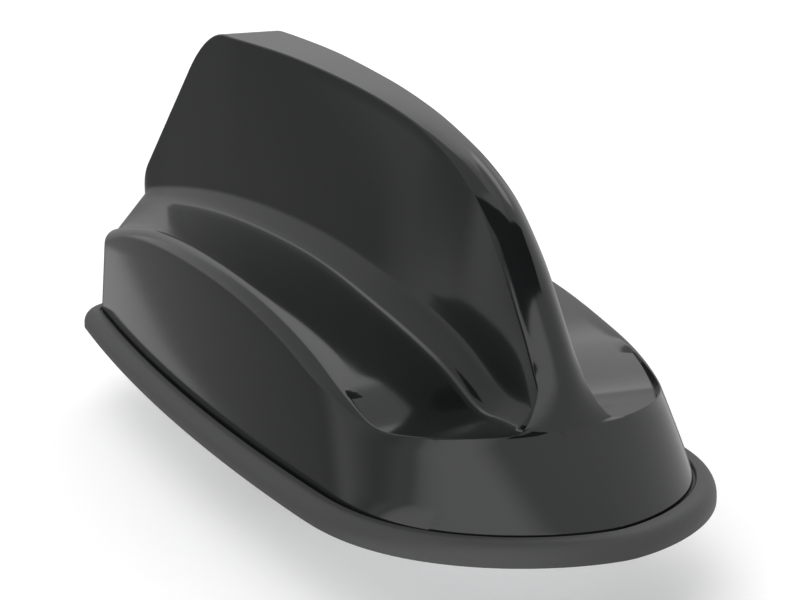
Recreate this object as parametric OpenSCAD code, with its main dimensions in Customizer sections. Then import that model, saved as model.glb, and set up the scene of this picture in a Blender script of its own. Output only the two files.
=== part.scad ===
// Shark fin aerial for a vehicle roof, +X towards the nose, origin on the stud axis in the roof plane.

/* [Cover] */
// Distance from the stud axis to the nose tip of the cover
nose_x = 86; // [80:0.5:92]
// Distance from the stud axis to the rear face of the cover
tail_x = 86; // [82:0.5:92]
// Width of the cover at its widest, at the seal
cover_w = 64.6; // [60:0.2:72]
// Width of the cover across its rear end, at the seal
tail_w = 36.8; // [34:0.2:42]
// Height of the top of the fin above the roof
cover_h = 68; // [62:0.5:74]
// Wall of the cover moulding
wall = 2.2; // [1.8:0.1:2.5]
// Height of the shoulder above the roof at its highest
shoulder_z = 30.7; // [29:0.1:33]
// Height of the sharp front edge of the side pocket
pocket_edge_z = 16.5; // [15.5:0.1:16.9]
// Distance from the nose tip back to the foot of the fin's front edge
fin_setback = 14.2; // [13:0.2:15.6]
// Width of the crest strip at the rear of the fin
crest_w = 12.4; // [11.6:0.1:13.4]
// Width of the crest strip where it is narrowest
crest_neck_w = 6.2; // [6:0.1:7]
// Thickness of the fin at its root
fin_root_w = 14.6; // [13.6:0.1:16]
// Radius of the hollow between the fin and the shoulder
root_r = 5.5; // [4:0.1:6.5]
// Radius of the rounded shoulder
shoulder_r = 3; // [2.4:0.1:3.6]
// Depth by which the side pocket lies below the nose surface
pocket_step = 1.4; // [0.8:0.1:1.6]
// Radius that rounds the rear end
tail_r = 5; // [3:0.1:6]
// Distance by which the nose stands ahead of the two creases
nose_bulge = 2.5; // [1.5:0.1:3]

/* [Seal] */
// Distance by which the rubber seal stands out round the cover
flange = 4; // [3:0.1:5]
// Height of the joint between the cover and the seal
joint_z = 3.2; // [2.9:0.1:3.4]
// Height by which the seal's bead stands above the joint
bead_rise = 0.6; // [0.3:0.1:0.8]
// Gap between the bead and the foot of the cover
bead_gap = 0.4; // [0.2:0.05:0.6]
// Width of the seal under the base plate
seal_land = 4.5; // [4:0.1:5.5]
// Distance from the seal's inner edge to the heads of the cover screws
seal_margin = 0.8; // [0.6:0.1:1.2]

/* [Base] */
// Height of the underside of the base plate above the roof
plate_z = 1; // [0.8:0.1:1.4]
// Thickness of the base plate
plate_t = 2.4; // [2.1:0.1:2.8]
// Height of the rim round the base plate
rim_h = 2.2; // [1.8:0.1:2.6]
// Width of the rim round the base plate
rim_w = 1.6; // [1.2:0.1:2]
// Thickness of the seal cord between the rim and the cover
cord_w = 1.8; // [1.5:0.1:2.2]
// Gap that lets the base plate drop into the cover
fit_gap = 0.3; // [0.2:0.05:0.4]
// Diameter of the mounting stud
stud_d = 16; // [14:0.5:18]
// Length of the stud below the roof plane
stud_l = 16; // [12:0.5:18]
// Diameter of the cable passage through the stud
stud_bore_d = 10.5; // [9:0.5:11.5]
// Distance by which the stud is thicker above the roof plane
stud_step = 0.6; // [0.4:0.1:1]
// Thickness of the stud's flange
stud_flange_t = 1.6; // [1.2:0.1:2]
// Distance by which the stud's flange stands out round the stud
stud_flange_w = 3.5; // [3:0.1:4]
// Outside diameter of the foam ring round the stud
foam_d = 34; // [30:0.5:38]

/* [Fasteners] */
// Shank diameter of the cover screws
cover_screw_d = 3; // [2.6:0.1:3.4]
// Head diameter of the cover screws
cover_head_d = 5.4; // [5:0.1:5.8]
// Head height of the cover screws
cover_head_h = 1.5; // [1.2:0.1:1.8]
// Outside diameter of the cover's screw bosses
boss_d = 7.4; // [7:0.1:8]
// Length of screw inside each boss
screw_grip = 7; // [5:0.5:8]
// Shank diameter of the board screws
board_screw_d = 2.2; // [2:0.1:2.6]
// Play between a screw shank and its hole
screw_play = 0.1; // [0.1:0.05:0.2]

/* [Boards] */
// Distance from the stud axis to the front edge of the main board
board_front = 54; // [50:0.5:58]
// Distance from the stud axis to the rear edge of the main board
board_back = 50; // [46:0.5:56]
// Clearance between the main board and the screw bosses
board_gap = 1; // [0.5:0.1:2]
// Thickness of the main board
board_t = 1.6; // [1.2:0.1:2]
// Height of the standoffs above the base plate
standoff_h = 4; // [3.4:0.1:5]
// Diameter of the standoffs
standoff_d = 5.6; // [5:0.1:6.4]
// Thickness of the upright aerial board
mast_t = 1; // [0.8:0.1:1.2]
// Distance from the stud axis to the rear edge of the upright board
mast_back = 58; // [54:0.5:62]
// Distance from the stud axis to the front edge of the upright board
mast_front = 20; // [16:0.5:22]
// Clearance above the upright board inside the fin
mast_gap = 2; // [1.6:0.1:3]
// Thickness of the copper on the upright board
copper_t = 0.15; // [0.1:0.05:0.2]
// Depth of the sheet metal cap on the upright board
hat_h = 6; // [4:0.5:8]
// Thickness of sheet metal parts
sheet_t = 0.4; // [0.3:0.05:0.5]
// Side of the satellite patch
patch_w = 20; // [18:0.5:22]
// Thickness of the satellite patch
patch_t = 4; // [3:0.1:4.6]
// Height of the shield can
can_h = 3.2; // [2.5:0.1:4]
// Turns of the loading coil
coil_turns = 6; // [4:1:8]
// Diameter of the loading coil's former
former_d = 6; // [5:0.1:6.4]
// Wire diameter of the loading coil
wire_d = 0.8; // [0.6:0.05:0.9]

/* [Hidden] */
$fn = 48;
eps = 0.02;

// Heights that pieces share
skirt_z = joint_z + 0.8;
plate_top = plate_z + plate_t;
pad_top = plate_top + 1.2;
board_z = plate_top + standoff_h;
board_top = board_z + board_t;
shank_d = stud_d + 2 * stud_step;
fin_front_x = nose_x - fin_setback;

// Small helpers for curves
function clamp01(t) = min(max(t, 0), 1);
function ease(t) = let(c = clamp01(t)) c * c * (3 - 2 * c);
function mix(a, b, t) = a + (b - a) * t;
function slope(p, i) = (p[i + 1].y - p[i].y) / (p[i + 1].x - p[i].x);
function tangent(p, i) =
    i == 0 ? slope(p, 0)
    : i == len(p) - 1 ? slope(p, i - 1)
    : slope(p, i - 1) * slope(p, i) <= 0 ? 0
    : 2 * slope(p, i - 1) * slope(p, i) / (slope(p, i - 1) + slope(p, i));
function span_of(p, x, i = 0) = i >= len(p) - 2 || x <= p[i + 1].x ? i : span_of(p, x, i + 1);
function smooth_curve(p, x) =
    let(
        c = min(max(x, p[0].x), p[len(p) - 1].x),
        i = span_of(p, c),
        h = p[i + 1].x - p[i].x,
        t = (c - p[i].x) / h
    )
    (2 * t * t * t - 3 * t * t + 1) * p[i].y + (t * t * t - 2 * t * t + t) * h * tangent(p, i)
    + (3 * t * t - 2 * t * t * t) * p[i + 1].y + (t * t * t - t * t) * h * tangent(p, i + 1);

// Half width of the skirt at the station x and the height z
wide_x = nose_x - 38;
nose_lean = 0.64;
side_draft = 0.12;
tail_draft = 0.08;
function above_foot(z) = max(z - skirt_z, 0);
function tip_x(z) = nose_x - above_foot(z);
function belly_x(z) = wide_x - nose_lean * above_foot(z);
function belly_half(z) = cover_w / 2 - side_draft * above_foot(z);
function tail_half(z) = tail_w / 2 - tail_draft * above_foot(z);
function boxy(z) = clamp01(above_foot(z) / 13);
function nose_part(u, z) = pow(1 - pow(clamp01(u), 2.5 + 0.5 * boxy(z)), 0.606 - 0.1 * boxy(z));
function skirt(x, z) =
    x > belly_x(z)
    ? belly_half(z) * nose_part((x - belly_x(z)) / (tip_x(z) - belly_x(z)), z)
    : mix(belly_half(z), tail_half(z), pow((belly_x(z) - x) / (belly_x(z) + tail_x), 1.9));

// Heights along the cover: shoulder ridge, crest crease, trailing edge and centre line
function soft_max(a, b, r) = let(h = clamp01(0.5 + (a - b) / (2 * r))) mix(b, a, h) + r * h * (1 - h);
peak_x = -12;
shoulder_drop = 8.7;
function shoulder(x) =
    x < peak_x
    ? shoulder_z - shoulder_drop * pow((peak_x - x) / 68, 2)
    : soft_max(shoulder_z - 13.4 * pow((x - peak_x) / (nose_x - 29.2 - peak_x), 2.35), pocket_edge_z, 1.6);
crest_ahead = [[-45, 1], [-20, 0.978], [6, 0.926], [24, 0.863], [38, 0.777], [49, 0.66],
    [57.5, 0.491], [65, 0.277], [67.4, 0.2], [69.6, 0.135], [70.8, 0.077], [71.4, 0.03], [71.65, 0.008],
    [71.8, 0]];
crest_line = [for (p = crest_ahead) [p.x + (fin_front_x - 71.8), mix(pocket_edge_z, cover_h, p.y)]];
trail_slope = 1.038;
trail_foot = 30.5;
corner_r = 9;
function trail(x) = trail_foot + trail_slope * (x + tail_x);
function round_min(a, b, r) = let(h = clamp01(0.5 + (b - a) / (2 * r))) mix(b, a, h) - r * h * (1 - h);
function crest(x) = round_min(trail(x), smooth_curve(crest_line, x), corner_r);
function nose_line(x) = nose_x + skirt_z - x;
function bulge(a) = nose_bulge * (ease((a - fin_front_x + 67.8) / 28) - 0.3 * ease((a - fin_front_x + 4.8) / 4.5));
function crease_behind(x, u) = let(b = bulge(x), a = x - b * (1 - u * u)) x - bulge(a) * (1 - u * u);

// Widths along the cover: crest strip, fin at its root, pocket step and shelf
neck_x = fin_front_x - 38.8;
function crest_half(x) =
    x < neck_x
    ? mix(crest_neck_w / 2, crest_w / 2, pow(clamp01((neck_x - x) / 70), 1.35)) + 0.023 * max(-37 - x, 0)
    : mix(
        crest_neck_w / 2 + ease((x - neck_x) / 32) + 0.4 * ease((x - fin_front_x + 6.8) / 6),
        skirt(fin_front_x, pocket_edge_z),
        pow(1 - pow(clamp01((fin_front_x - x) / 2.2), 0.42), 1.4)
    );
function root_half(x) = mix(fin_root_w / 2, fin_root_w / 2 - 2.9, ease((x - fin_front_x + 51.8) / 45));
function pocket_left(x) = sqrt(clamp01((fin_front_x - x) / 1.2));
function recess(x) = pocket_step * ease((x - fin_front_x + 25.8) / 18) * pocket_left(x);
function shelf_rise(x) = 0.8 + 3.7 * pow(clamp01((20 - x) / 105), 1.5);
function shelf_end(x) = shoulder(x) - recess(x) + shelf_rise(x) * pocket_left(x);
function hollow_r(x) =
    let(room = crest(x) - shelf_end(x))
    max(min(root_r, 0.66 * room - 0.6 * pocket_left(x), 0.5 * (skirt(x, shoulder(x)) - crest_half(x))), 0);

// Where the strip between the creases runs out into the nose
strip_end = tip_x(pocket_edge_z) - 0.15;

// Sections of the cover's outside, from the skirt's foot to the centre line, as [half width, height]
wall_rows = 2;
side_rows = 22;
function fin_section(x) =
    let(
        zs = shoulder(x),
        left = pocket_left(x),
        r = mix(shoulder_r, 0.4 * left, ease((x - fin_front_x + 33.8) / 22)),
        st = recess(x),
        ys = skirt(x, zs - r),
        y1 = ys - r - (0.25 + 0.4 * st) * left,
        z1 = zs - st + 0.05 * left,
        z2 = shelf_end(x),
        rr = hollow_r(x),
        hc = crest_half(x),
        face = hc + 0.45 * left - st,
        hf = max(root_half(x), face),
        zc = crest(x),
        lip = min(2.4, 0.33 * (zc - z2))
    )
    concat(
        [for (k = [0:wall_rows]) let(z = mix(joint_z, zs - r, k / wall_rows)) [skirt(x, z), z]],
        [for (a = [25, 50, 75, 90]) [ys - r + r * cos(a), zs - r + r * sin(a)]],
        [[y1, z1], [mix(y1, hf + rr, 0.5), mix(z1, z2, 0.5)]],
        [for (a = [0, 30, 60, 90]) [hf + rr - rr * sin(a), z2 + rr - rr * cos(a)]],
        [
            [mix(hf, face, 0.5), mix(z2 + rr, zc - lip, 0.5)],
            [face, zc - lip],
            [mix(face, hc, 0.25), zc - 0.4 * lip]
        ],
        [for (u = strip_rows) strip_point(x, u)]
    );

// A point of the strip between the creases, level with the crease that lies behind it
strip_rows = [1, 0.9, 0.8, 0.66, 0.5, 0.26, 0];
function strip_point(x, u) = let(a = crease_behind(x, u)) [crest_half(a) * u, crest(a)];
function strip_section(x) =
    let(m = len(strip_rows) - 1, n = side_rows - m, u1 = first_row(x))
    concat(
        [for (k = [0:n]) let(z = mix(joint_z, pocket_edge_z, k / n)) [skirt(x, z), z]],
        [for (k = [1:m]) strip_point(x, u1 * strip_rows[k])]
    );
function first_row(x) = sqrt(clamp01(1 - (x - fin_front_x) / bulge(fin_front_x)));
function nose_section(x) =
    let(zt = nose_line(x), ze = mix(joint_z, zt, 0.6), at = min(x, nose_x - 0.1))
    concat(
        [for (k = [0:wall_rows]) let(z = mix(joint_z, ze, k / wall_rows)) [skirt(at, z), z]],
        [
            for (k = [1:side_rows - wall_rows])
            let(t = k / (side_rows - wall_rows), z = mix(ze, zt, 1 - pow(1 - t, 1.5)))
            [k == side_rows - wall_rows ? 0 : skirt(at, z) + 0.02 * (1 - t), z]
        ]
    );
function shrink(points, e, top) =
    [for (p = points) [p.x * (1 - e / points[0].x), joint_z + (p.y - joint_z) * (1 - e / (top - joint_z))]];
function end_inset(t, r) = r * (1 - sqrt(max(1 - pow(1 - clamp01(t), 2), 0)));
function outer_half(x) =
    x > strip_end ? nose_section(x)
    : x >= fin_front_x ? strip_section(x)
    : shrink(fin_section(x), end_inset((x + tail_x) / tail_r, tail_r), crest(x));

// Sections of the cover's inside, thinner at the ends by the wall along X
inner_tail = 1.1 * wall - tail_x;
inner_nose = nose_x - 2.5 * wall;
inner_r = 3;
function seen_from(x) = x + 1.15 * wall * clamp01(abs(x) / 60) * sign(x);
function cavity_half(x, z) = skirt(seen_from(x), z) - wall;
function slot_half(x) = let(s = seen_from(x)) max(crest_half(s) - recess(s) - wall, 0.5);
function slot_top(x) = crest(seen_from(x)) - wall;
function chamber_top(x) =
    let(s = seen_from(x)) min(shoulder(s) - recess(s) - wall - 0.3, nose_line(s) - 1.2 * wall);
function wall_top(x) = let(zc = chamber_top(x)) max(zc - 2.5, mix(joint_z, zc, 0.5));
function inside_half(x, z) =
    let(zc = chamber_top(x), z1 = wall_top(x), y1 = max(cavity_half(x, z1), 2))
    z > zc ? 0
    : z > z1 ? mix(y1, max(cavity_half(x, zc) - 2, 1.5), (z - z1) / (zc - z1))
    : mix(cavity_half(x, joint_z), y1, max(z - joint_z, 0) / (z1 - joint_z));
function inner_fin(x) =
    let(
        s = seen_from(x),
        zc = chamber_top(x),
        z1 = wall_top(x),
        z2 = shelf_end(s) - wall - 0.2,
        rr = hollow_r(s),
        y2 = cavity_half(x, zc) - 2
    )
    [
        [cavity_half(x, joint_z), joint_z],
        [cavity_half(x, z1), z1],
        [y2, zc],
        [min(root_half(s) + 0.6 * rr, 0.8 * y2), max(z2, zc + 0.05)],
        [max(root_half(s) - wall, slot_half(x) + 0.2), z2 + rr],
        [slot_half(x) + 0.1, max(slot_top(x) - 2, z2 + rr + 0.1)],
        [0.6 * slot_half(x), max(slot_top(x) - 0.2, z2 + rr + 0.3)],
        [0, max(slot_top(x), z2 + rr + 0.4)]
    ];
function inner_nose_section(x) =
    let(zc = chamber_top(x), z1 = wall_top(x), y2 = max(cavity_half(x, zc) - 2, 1.5))
    concat(
        [[cavity_half(x, joint_z), joint_z], [max(cavity_half(x, z1), 2), z1]],
        [for (k = [0:5]) [y2 * (1 - k / 5), zc + 0.06 * k]]
    );
function inner_half(x) =
    seen_from(x) > fin_front_x - 0.6
    ? inner_nose_section(x)
    : shrink(inner_fin(x), end_inset((x - inner_tail) / inner_r, inner_r), slot_top(x));

// Stations along X, close together where the shape turns
stations = concat(
    [for (a = [0, 22, 50, 90]) -tail_x + tail_r * (1 - cos(a))],
    [for (k = [1:4]) mix(tail_r - tail_x, -57, k / 4)],
    [-54, -51.5, -49, -46, -42.5, -38],
    [for (k = [1:7]) mix(-38, fin_front_x - 41.8, k / 7)],
    [for (w = [38, 34, 30, 26.5, 23.2, 20, 17, 14.3, 11.8, 9.4, 7.2, 5.2, 3.6, 2.4, 1.6, 1, 0.6, 0.3, 0.12])
        fin_front_x - w],
    [for (k = [0.05, 0.35, 0.7, 1]) mix(fin_front_x, strip_end, k)],
    [for (u = [0.05, 0.24, 0.44, 0.64, 0.8, 0.92, 1]) mix(strip_end, nose_x, u)]
);
function inner_station(x) = mix(inner_tail, inner_nose, (x + tail_x) / (nose_x + tail_x));
function both_sides(half, x) =
    let(n = len(half))
    concat(
        [for (k = [0:n - 1]) [x, -half[k].x, half[k].y]],
        [for (k = [n - 2:-1:0]) [x, half[k].x, half[k].y]]
    );

// A shell closed at its ends and open below, from outer and inner sections that share their stations
module shell(outer, inner) {
    n = len(outer);
    m = len(outer[0]);
    q = len(inner[0]);
    base = n * m;
    function o(i, j) = i * m + j;
    function v(i, j) = base + i * q + j;
    faces = concat(
        [for (i = [0:n - 2], j = [0:m - 2]) [o(i, j), o(i, j + 1), o(i + 1, j + 1)]],
        [for (i = [0:n - 2], j = [0:m - 2]) [o(i, j), o(i + 1, j + 1), o(i + 1, j)]],
        [for (i = [0:n - 2], j = [0:q - 2]) [v(i, j), v(i + 1, j + 1), v(i, j + 1)]],
        [for (i = [0:n - 2], j = [0:q - 2]) [v(i, j), v(i + 1, j), v(i + 1, j + 1)]],
        [for (i = [0:n - 2]) [o(i, 0), o(i + 1, 0), v(i + 1, 0)]],
        [for (i = [0:n - 2]) [o(i, 0), v(i + 1, 0), v(i, 0)]],
        [for (i = [0:n - 2]) [o(i, m - 1), v(i, q - 1), v(i + 1, q - 1)]],
        [for (i = [0:n - 2]) [o(i, m - 1), v(i + 1, q - 1), o(i + 1, m - 1)]],
        ends(m, function(j) o(0, j), true),
        ends(m, function(j) o(n - 1, j), false),
        ends(q, function(j) v(0, j), false),
        ends(q, function(j) v(n - 1, j), true),
        [[o(0, 0), v(0, 0), v(0, q - 1)], [o(0, 0), v(0, q - 1), o(0, m - 1)]],
        [[o(n - 1, 0), v(n - 1, q - 1), v(n - 1, 0)], [o(n - 1, 0), o(n - 1, m - 1), v(n - 1, q - 1)]]
    );
    polyhedron(points = concat([for (s = outer) each s], [for (s = inner) each s]), faces = faces);
}
function ends(count, at, flip) =
    let(h = (count - 1) / 2)
    [
        for (k = [0:h - 1])
        let(a = at(k), b = at(k + 1), c = at(count - 2 - k), d = at(count - 1 - k))
        each (
            k == h - 1
            ? [flip ? [a, d, b] : [a, b, d]]
            : flip ? [[a, d, c], [a, c, b]] : [[a, b, c], [a, c, d]]
        )
    ];

// Screw bosses of the cover, two at the nose, two amidships and two at the tail
boss_x = [nose_x - 32, -16, 16 - tail_x];
function boss_y(x) = cavity_half(x, joint_z) - seal_land - cover_head_d / 2 - seal_margin;
boss_spots = [for (x = boss_x, s = [-1, 1]) [x, s * boss_y(x), s]];
function shelf_height(x, y) =
    let(
        y1 = skirt(x, shoulder(x)) - shoulder_r,
        y2 = root_half(x) + hollow_r(x)
    )
    shoulder(x) - recess(x) + shelf_rise(x) * clamp01((y1 - y) / (y1 - y2));
function boss_top(x) =
    let(y = boss_y(x) + boss_d / 2)
    min(shelf_height(x - boss_d / 2, y), shelf_height(x + boss_d / 2, y)) - wall / 2;

module at_bosses() {
    for (p = boss_spots) translate([p.x, p.y, 0]) children();
}

// A web from a boss to the skirt's wall, as wide at its foot as at its head
module boss_web(x, side) {
    web_t = 1.4;
    z1 = pad_top + 2;
    z2 = boss_top(x) - 1;
    hull() for (z = [z1, z2], y = [boss_y(x), skirt(x, z) - 0.6 * wall])
        translate([x - web_t / 2, side * y - 0.1, z - 0.1]) cube([web_t, 0.2, 0.2]);
}
module boss(x) {
    hull() {
        translate([0, 0, pad_top]) cylinder(d = boss_d, h = 1, $fn = 20);
        translate([0, 0, boss_top(x) - 1]) cylinder(d = boss_d + 0.4, h = 1, $fn = 20);
    }
}

module cover() {
    color("#2b2c2e") difference() {
        union() {
            shell(
                [for (x = stations) both_sides(outer_half(x), x)],
                [for (x = stations) let(i = inner_station(x)) both_sides(inner_half(i), i)]
            );
            for (p = boss_spots) {
                translate([p.x, p.y, 0]) boss(p.x);
                boss_web(p.x, p.z);
            }
        }
        at_bosses() translate([0, 0, pad_top - 1]) cylinder(d = cover_screw_d + 0.1, h = screw_grip + 2, $fn = 16);
    }
}

// Outlines in the roof plane
outline_x = concat(
    [for (a = [0, 30, 60, 90]) -tail_x + tail_r * (1 - cos(a))],
    [for (k = [1:6]) mix(tail_r - tail_x, wide_x - 8, k / 6)],
    [for (a = [10, 20, 30, 40, 49, 57, 64, 70, 75, 79, 83, 87]) mix(wide_x - 8, nose_x, sin(a))],
    [nose_x]
);
foot_outline = [for (x = outline_x) [x, outer_half(x)[0].x]];
function mirrored(points) = concat(points, [for (k = [len(points) - 1:-1:0]) [points[k].x, -points[k].y]]);
function cavity_outline(z) = [
    for (x = stations)
    let(
        i = inner_station(x),
        y = inside_half(i, z),
        e = end_inset((i - inner_tail) / inner_r, inner_r)
    )
    if (y > 1.5) [i, y - e]
];
module foot_shape(grow) {
    offset(r = grow, $fn = 32) polygon(mirrored(foot_outline));
}
module cavity_shape(z, grow) {
    offset(r = grow, $fn = 32) polygon(mirrored(cavity_outline(z)));
}

// The seal's rounded rim, from its sharp foot up to the top of the bead
rim_profile = [for (a = [0, 18, 36, 54, 72, 90])
    [mix(flange - 2.6, flange, cos(a)), mix(0.8, joint_z + bead_rise, sin(a))]];
function away(points, i) =
    let(
        n = len(points),
        a = points[(i + n - 1) % n],
        b = points[(i + 1) % n],
        d = (b - a) / norm(b - a)
    )
    [-d.y, d.x];
module rounded_rim() {
    line = mirrored(foot_outline);
    n = len(line);
    m = len(rim_profile) + 1;
    rings = concat([[flange, 0]], rim_profile);
    points = [for (r = rings, i = [0:n - 1]) let(p = line[i] + r.x * away(line, i)) [p.x, p.y, r.y]];
    faces = concat(
        [for (k = [0:m - 2], i = [0:n - 1]) let(j = (i + 1) % n) [k * n + i, k * n + j, k * n + n + j]],
        [for (k = [0:m - 2], i = [0:n - 1]) let(j = (i + 1) % n) [k * n + i, k * n + n + j, k * n + n + i]],
        [[for (i = [n - 1:-1:0]) i]],
        [[for (i = [0:n - 1]) (m - 1) * n + i]]
    );
    polyhedron(points = points, faces = faces);
}

module base_seal() {
    color("#3a3b3c") difference() {
        rounded_rim();
        translate([0, 0, joint_z]) linear_extrude(bead_rise + 1) foot_shape(bead_gap);
        translate([0, 0, plate_z]) linear_extrude(joint_z) cavity_shape(joint_z, 0);
        translate([0, 0, -1]) linear_extrude(joint_z) cavity_shape(joint_z, -seal_land);
    }
}

module seal_cord() {
    cord_h = 1.5;
    color("#202122") translate([0, 0, plate_top]) linear_extrude(cord_h) difference() {
        cavity_shape(plate_top + cord_h, -0.2);
        cavity_shape(plate_top + cord_h, -cord_w);
    }
}

pilot_d = board_screw_d;
standoff_y = board_half() - standoff_d / 2 - 0.6;
standoff_spots = [
    for (x = [4 - board_back, -14, board_front - 3.5], s = [-1, 1]) [x, s * standoff_y]
];
function board_half() = min([for (x = boss_x) if (x > -board_back) boss_y(x)]) - boss_d / 2 - board_gap;

module base_plate() {
    head_room = cover_head_h + 0.2;
    color("#9a9c9f") difference() {
        union() {
            translate([0, 0, plate_z]) linear_extrude(plate_t) cavity_shape(plate_top, -fit_gap);
            translate([0, 0, plate_top - eps]) linear_extrude(rim_h + eps) difference() {
                cavity_shape(plate_top + rim_h, -cord_w - 0.1);
                cavity_shape(plate_top + rim_h, -cord_w - 0.1 - rim_w);
            }
            at_bosses() translate([0, 0, plate_top - eps]) cylinder(d = boss_d + 0.6, h = pad_top - plate_top + eps);
            for (p = standoff_spots) translate([p.x, p.y, plate_top - eps])
                cylinder(d = standoff_d, h = standoff_h + eps);
            plate_ribs();
        }
        at_bosses() {
            translate([0, 0, plate_z - 1]) cylinder(d = cover_head_d + 0.4, h = head_room + 1);
            translate([0, 0, plate_z]) cylinder(d = cover_screw_d + 2 * screw_play, h = pad_top);
        }
        for (p = standoff_spots) translate([p.x, p.y, plate_top + 0.5]) cylinder(d = pilot_d, h = standoff_h + 1);
        translate([0, 0, -1]) cylinder(d = shank_d, h = plate_top + 2);
    }
}
module plate_ribs() {
    rib_h = 1.4;
    rib_t = 1.4;
    x0 = stud_d / 2 + stud_flange_w + 1.5;
    for (s = [-1, 1]) {
        translate([x0, s * 8 - rib_t / 2, plate_top - eps]) cube([board_front - x0, rib_t, rib_h + eps]);
        translate([-board_back, s * 8 - rib_t / 2, plate_top - eps]) cube([board_back - x0, rib_t, rib_h + eps]);
    }
}

module mounting_stud() {
    chamfer = 1;
    color("#c9c9c6") difference() {
        union() {
            translate([0, 0, chamfer - stud_l]) cylinder(d = stud_d, h = stud_l - chamfer);
            cylinder(d = shank_d, h = plate_top);
            translate([0, 0, -stud_l]) cylinder(d1 = stud_d - 2 * chamfer, d2 = stud_d, h = chamfer);
            translate([0, 0, plate_top]) cylinder(d = stud_d + 2 * stud_flange_w, h = stud_flange_t);
        }
        translate([0, 0, -stud_l - 1]) cylinder(d = stud_bore_d, h = stud_l + plate_top + stud_flange_t + 2);
    }
}

module roof_gasket() {
    color("#4a4b4c") difference() {
        cylinder(d = foam_d, h = plate_z);
        translate([0, 0, -1]) cylinder(d = shank_d + 1, h = plate_z + 2);
    }
}

module cover_screws() {
    head_z = plate_z + 0.2;
    color("#8d8f92") at_bosses() {
        difference() {
            translate([0, 0, head_z]) cylinder(d = cover_head_d, h = cover_head_h);
            translate([0, 0, head_z - 1]) cylinder(d = cover_head_d * 0.45, h = 1.8, $fn = 6);
        }
        translate([0, 0, head_z + cover_head_h]) cylinder(
            d = cover_screw_d, h = pad_top + screw_grip - head_z - cover_head_h
        );
    }
}

module rounded_slab(x0, x1, half, r, t) {
    linear_extrude(t) union() {
        translate([x0 + r, -half]) square([x1 - x0 - 2 * r, 2 * half]);
        translate([x0, r - half]) square([x1 - x0, 2 * (half - r)]);
        for (x = [x0 + r, x1 - r], y = [r - half, half - r]) translate([x, y]) circle(r);
    }
}

module main_board() {
    color("#1f5a3a") translate([0, 0, board_z]) difference() {
        rounded_slab(-board_back, board_front, board_half(), 2, board_t);
        for (p = standoff_spots) translate([p.x, p.y, -1]) cylinder(d = board_screw_d + 2 * screw_play, h = board_t + 2);
        translate([0, 0, -1]) cylinder(d = stud_bore_d + 1.5, h = board_t + 2);
    }
}

module board_screws() {
    color("#b9babc") for (p = standoff_spots) translate([p.x, p.y, 0]) {
        translate([0, 0, board_top]) difference() {
            cylinder(d = board_screw_d * 1.8, h = 1.3);
            translate([0, 0, 0.7]) cylinder(d = board_screw_d * 0.8, h = 1, $fn = 6);
        }
        translate([0, 0, board_top - board_t - standoff_h * 0.7])
            cylinder(d = board_screw_d, h = board_t + standoff_h * 0.7);
    }
}

// Places on the main board, measured from the stud axis
can_x = [8 - board_back, -18];
coil_spot = [-30, 9.5];
clip_x = [-22, mast_front - 6];
patch_x = board_front - 8 - patch_w / 2;
feed_x = -18;

module shield_can() {
    y0 = 1.5 - board_half();
    y1 = -mast_t / 2 - 3.5;
    r = 1;
    color("#b4b6b8") translate([0, 0, board_top]) difference() {
        translate([can_x[0], y0, 0]) cube([can_x[1] - can_x[0], y1 - y0, can_h]);
        translate([can_x[0] + sheet_t, y0 + sheet_t, -sheet_t])
            cube([can_x[1] - can_x[0] - 2 * sheet_t, y1 - y0 - 2 * sheet_t, can_h]);
        for (x = [can_x[0] + 4:5:can_x[1] - 3], y = [y0 + 3:3.5:y1 - 2])
            translate([x, y, 0]) cylinder(r = r / 2, h = can_h + 1);
    }
}

module patch_ceramic() {
    color("#d8cfb8") translate([patch_x, 0, board_top]) difference() {
        translate([-patch_w / 2, -patch_w / 2, 0]) cube([patch_w, patch_w, patch_t]);
        translate([2, 0, -1]) cylinder(d = 1.2, h = patch_t + 2);
    }
}
module patch_electrode() {
    color("#c8cacc") translate([patch_x, 0, board_top + patch_t]) {
        translate([-patch_w * 0.41, -patch_w * 0.41, 0]) cube([patch_w * 0.82, patch_w * 0.82, 0.2]);
        translate([2, 0, 0]) cylinder(d = 2, h = 0.7);
        translate([2, 0, -patch_t]) cylinder(d = 1, h = patch_t);
    }
}

// The upright board stands on the main board and follows the inside of the fin
mast_floor = shoulder(-mast_back) + 2;
function mast_top(x) = slot_top(x) - mast_gap;
mast_stations = [for (k = [0:12]) mix(mast_front, -mast_back, k / 12)];
module mast_profile() {
    polygon(concat(
        [for (x = mast_stations) [x, mast_top(x)]],
        [
            [-mast_back, mast_floor], [2 - board_back, board_top + 6], [4 - board_back, board_top],
            [-stud_bore_d, board_top], [2 - stud_bore_d, board_top + 4], [stud_bore_d - 2, board_top + 4],
            [stud_bore_d, board_top], [mast_front, board_top]
        ]
    ));
}
module upright(t) {
    translate([0, t / 2, 0]) rotate([90, 0, 0]) linear_extrude(t) children();
}
module mast_board() {
    color("#27694a") upright(mast_t) mast_profile();
}
module mast_copper() {
    low = shelf_end(0) + 3;
    color("#b87333") for (s = [-1, 1]) translate([0, s * (mast_t + copper_t) / 2, 0]) upright(copper_t)
        polygon(concat(
            [for (k = [1:11]) [mast_stations[k], mast_top(mast_stations[k]) - 1]],
            [[mast_stations[11], low + 12], [mast_stations[10], low + 1], [feed_x, low + 1], [feed_x, board_top + 9],
             [feed_x + 3, board_top + 9], [feed_x + 3, low], [mast_stations[1], low]]
        ));
}
cap_stations = [for (k = [2:10]) mast_stations[k]];
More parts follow.
